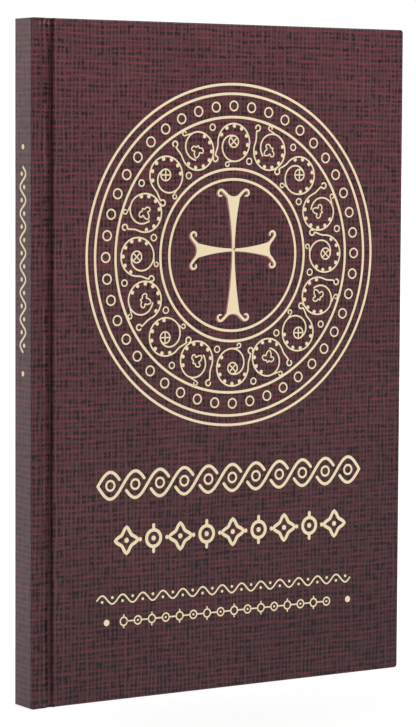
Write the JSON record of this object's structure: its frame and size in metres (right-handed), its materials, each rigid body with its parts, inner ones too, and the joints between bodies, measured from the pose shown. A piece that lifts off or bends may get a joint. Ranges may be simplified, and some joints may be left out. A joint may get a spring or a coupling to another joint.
{
  "type": "prayer book",
  "caption": "Slim hardcover prayer book standing closed; hinged case covers, endpapers, sewn signatures, headbands, woven-look printed paper, round medallion with a cross.",
  "frame": {"origin": "middle of the closed book's tail face, which it stands on", "axes": "+Z from tail to head, spine at -X, front cover faces -Y"},
  "size_m": [0.1366, 0.0102, 0.206],
  "materials": {
    "cover_paper": "satin laminated print",
    "greyboard": "matte",
    "gauze": "matte",
    "kraft_liner": "matte",
    "headband_cloth": "matte",
    "thread": "matte",
    "endpaper": "matte",
    "text_paper": "matte"
  },
  "bodies": {
    "spine": {"spine_board": "greyboard", "spine_cover_paper": "cover_paper", "spine_liner": "kraft_liner", "spine_mull": "gauze", "head_band": "headband_cloth", "tail_band": "headband_cloth", "sewing_thread": "thread", "gutter_folds": "text_paper", "front_joint_paper": "cover_paper", "back_joint_paper": "cover_paper", "front_mull_joint": "gauze", "back_mull_joint": "gauze", "front_endpaper_joint": "endpaper", "back_endpaper_joint": "endpaper"},
    "front_cover": {"front_board": "greyboard", "front_cover_paper": "cover_paper", "front_mull_flap": "gauze", "front_pastedown": "endpaper"},
    "back_cover": {"back_board": "greyboard", "back_cover_paper": "cover_paper", "back_mull_flap": "gauze", "back_pastedown": "endpaper"},
    "front_flyleaf": {"front_flyleaf": "endpaper"},
    "back_flyleaf": {"back_flyleaf": "endpaper"},
    "signature_01": {"signature_01": "text_paper"},
    "signature_02": {"signature_02": "text_paper"},
    "signature_03": {"signature_03": "text_paper"},
    "signature_04": {"signature_04": "text_paper"},
    "signature_05": {"signature_05": "text_paper"},
    "signature_06": {"signature_06": "text_paper"},
    "signature_07": {"signature_07": "text_paper"},
    "signature_08": {"signature_08": "text_paper"}
  },
  "joints": [
    {"name": "front_cover_hinge", "type": "hinge", "parent": "spine", "child": "front_cover", "pos_m": [-0.0635, -0.0052, 0], "axis": [0, 0, -1], "range_deg": [0, 178], "deforming": ["front_joint_paper", "front_mull_joint", "front_endpaper_joint"]},
    {"name": "back_cover_hinge", "type": "hinge", "parent": "spine", "child": "back_cover", "pos_m": [-0.0635, 0.0052, 0], "axis": [0, 0, 1], "range_deg": [0, 178], "deforming": ["back_joint_paper", "back_mull_joint", "back_endpaper_joint"]},
    {"name": "front_flyleaf_turn", "type": "hinge", "parent": "spine", "child": "front_flyleaf", "pos_m": [-0.0604, -0.00285, 0], "axis": [0, 0, -1], "range_deg": [0, 94.35]},
    {"name": "back_flyleaf_turn", "type": "hinge", "parent": "spine", "child": "back_flyleaf", "pos_m": [-0.0604, 0.00285, 0], "axis": [0, 0, 1], "range_deg": [0, 94.35]},
    {"name": "signature_01_turn", "type": "hinge", "parent": "spine", "child": "signature_01", "pos_m": [-0.05994, -0.00241, 0], "axis": [0, 0, -1], "range_deg": [0, 85.45]},
    {"name": "signature_02_turn", "type": "hinge", "parent": "spine", "child": "signature_02", "pos_m": [-0.05932, -0.00172, 0], "axis": [0, 0, -1], "range_deg": [0, 64.09]},
    {"name": "signature_03_turn", "type": "hinge", "parent": "spine", "child": "signature_03", "pos_m": [-0.0587, -0.00103, 0], "axis": [0, 0, -1], "range_deg": [0, 42.73]},
    {"name": "signature_04_turn", "type": "hinge", "parent": "spine", "child": "signature_04", "pos_m": [-0.05808, -0.00034, 0], "axis": [0, 0, -1], "range_deg": [0, 21.37]},
    {"name": "signature_05_turn", "type": "hinge", "parent": "spine", "child": "signature_05", "pos_m": [-0.05808, 0.00034, 0], "axis": [0, 0, 1], "range_deg": [0, 21.37]},
    {"name": "signature_06_turn", "type": "hinge", "parent": "spine", "child": "signature_06", "pos_m": [-0.0587, 0.00103, 0], "axis": [0, 0, 1], "range_deg": [0, 42.73]},
    {"name": "signature_07_turn", "type": "hinge", "parent": "spine", "child": "signature_07", "pos_m": [-0.05932, 0.00172, 0], "axis": [0, 0, 1], "range_deg": [0, 64.09]},
    {"name": "signature_08_turn", "type": "hinge", "parent": "spine", "child": "signature_08", "pos_m": [-0.05994, 0.00241, 0], "axis": [0, 0, 1], "range_deg": [0, 85.45]}
  ],
  "couplings": [
    {"joint": "front_flyleaf_turn", "follows": "front_cover_hinge", "ratio": 0.53},
    {"joint": "back_flyleaf_turn", "follows": "back_cover_hinge", "ratio": 0.53},
    {"joint": "signature_01_turn", "follows": "front_cover_hinge", "ratio": 0.48},
    {"joint": "signature_02_turn", "follows": "front_cover_hinge", "ratio": 0.36},
    {"joint": "signature_03_turn", "follows": "front_cover_hinge", "ratio": 0.24},
    {"joint": "signature_04_turn", "follows": "front_cover_hinge", "ratio": 0.12},
    {"joint": "signature_05_turn", "follows": "back_cover_hinge", "ratio": 0.12},
    {"joint": "signature_06_turn", "follows": "back_cover_hinge", "ratio": 0.24},
    {"joint": "signature_07_turn", "follows": "back_cover_hinge", "ratio": 0.36},
    {"joint": "signature_08_turn", "follows": "back_cover_hinge", "ratio": 0.48}
  ]
}
